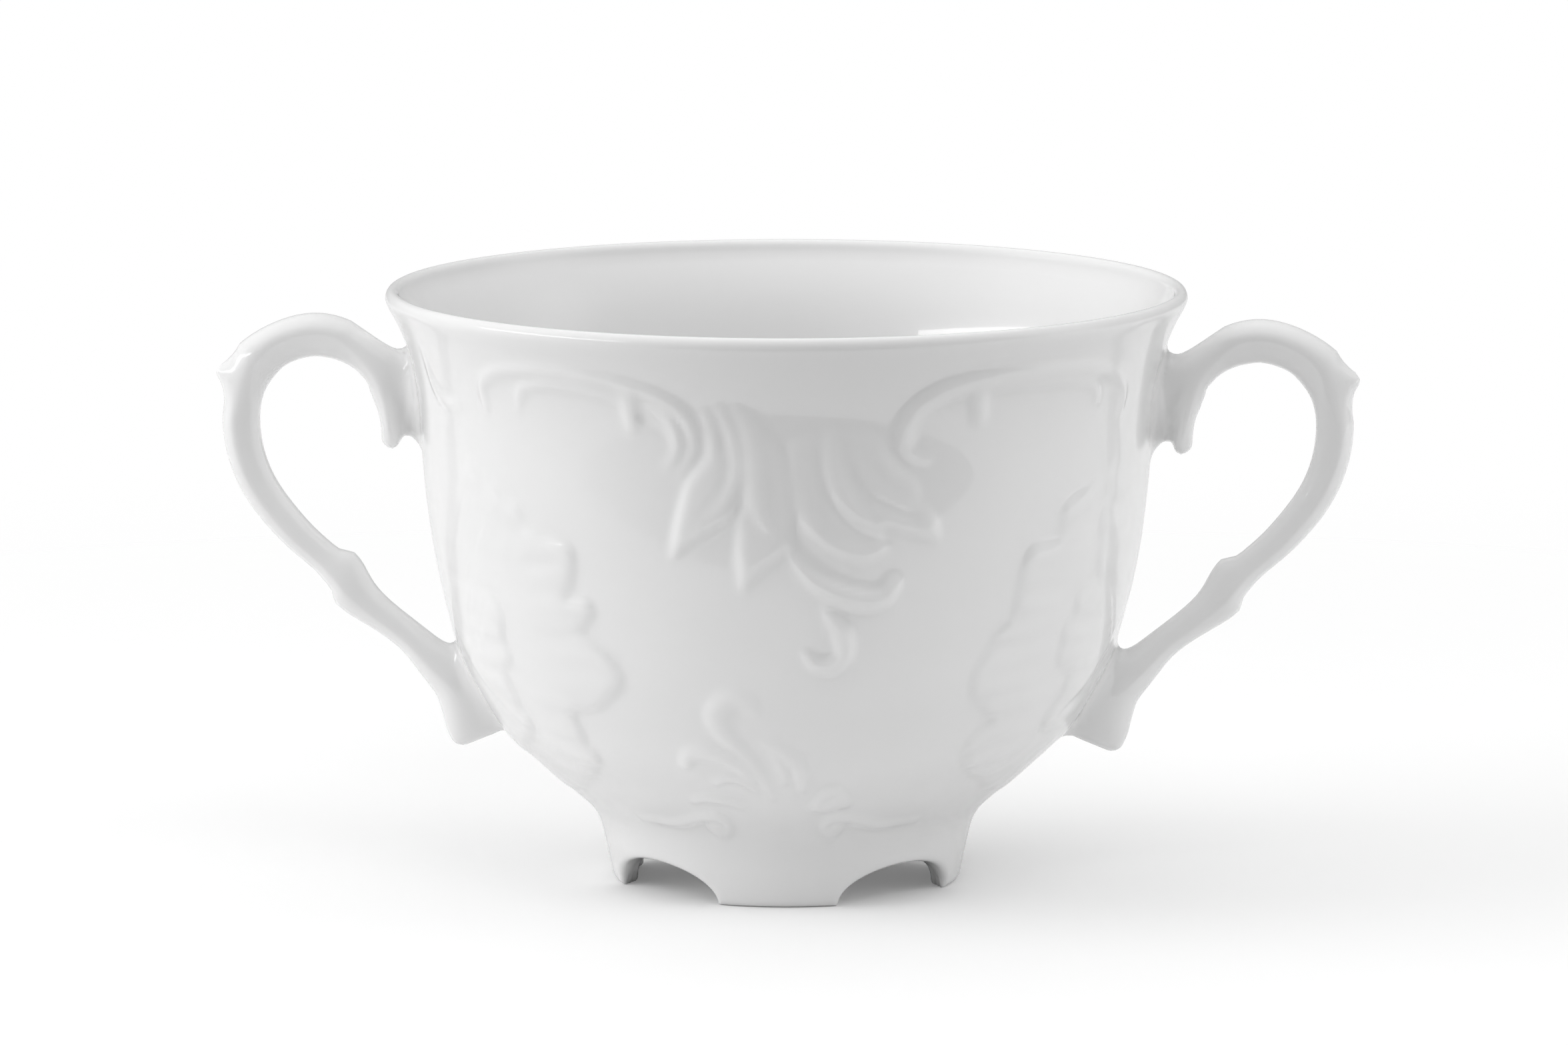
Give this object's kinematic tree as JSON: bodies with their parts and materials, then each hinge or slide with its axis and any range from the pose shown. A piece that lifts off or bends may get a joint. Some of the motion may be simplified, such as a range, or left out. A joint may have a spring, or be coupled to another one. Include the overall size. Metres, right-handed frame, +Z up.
{
  "type": "bouillon cup",
  "caption": "A footed bouillon cup with a scrolled handle on each side, a flared rim, low raised scroll and leaf ornament, and a short foot pierced by arches.",
  "frame": {"origin": "centre of the foot, on the plane that the four feet stand on", "axes": "+Z up to the rim, +X to one handle and -X to the other; the front faces -Y, and the back has the same ornament turned half round"},
  "size_m": [0.1602, 0.1118, 0.0834],
  "materials": {
    "porcelain": "glossy white glaze"
  },
  "bodies": {
    "root": {"cup": "porcelain"}
  },
  "joints": []
}
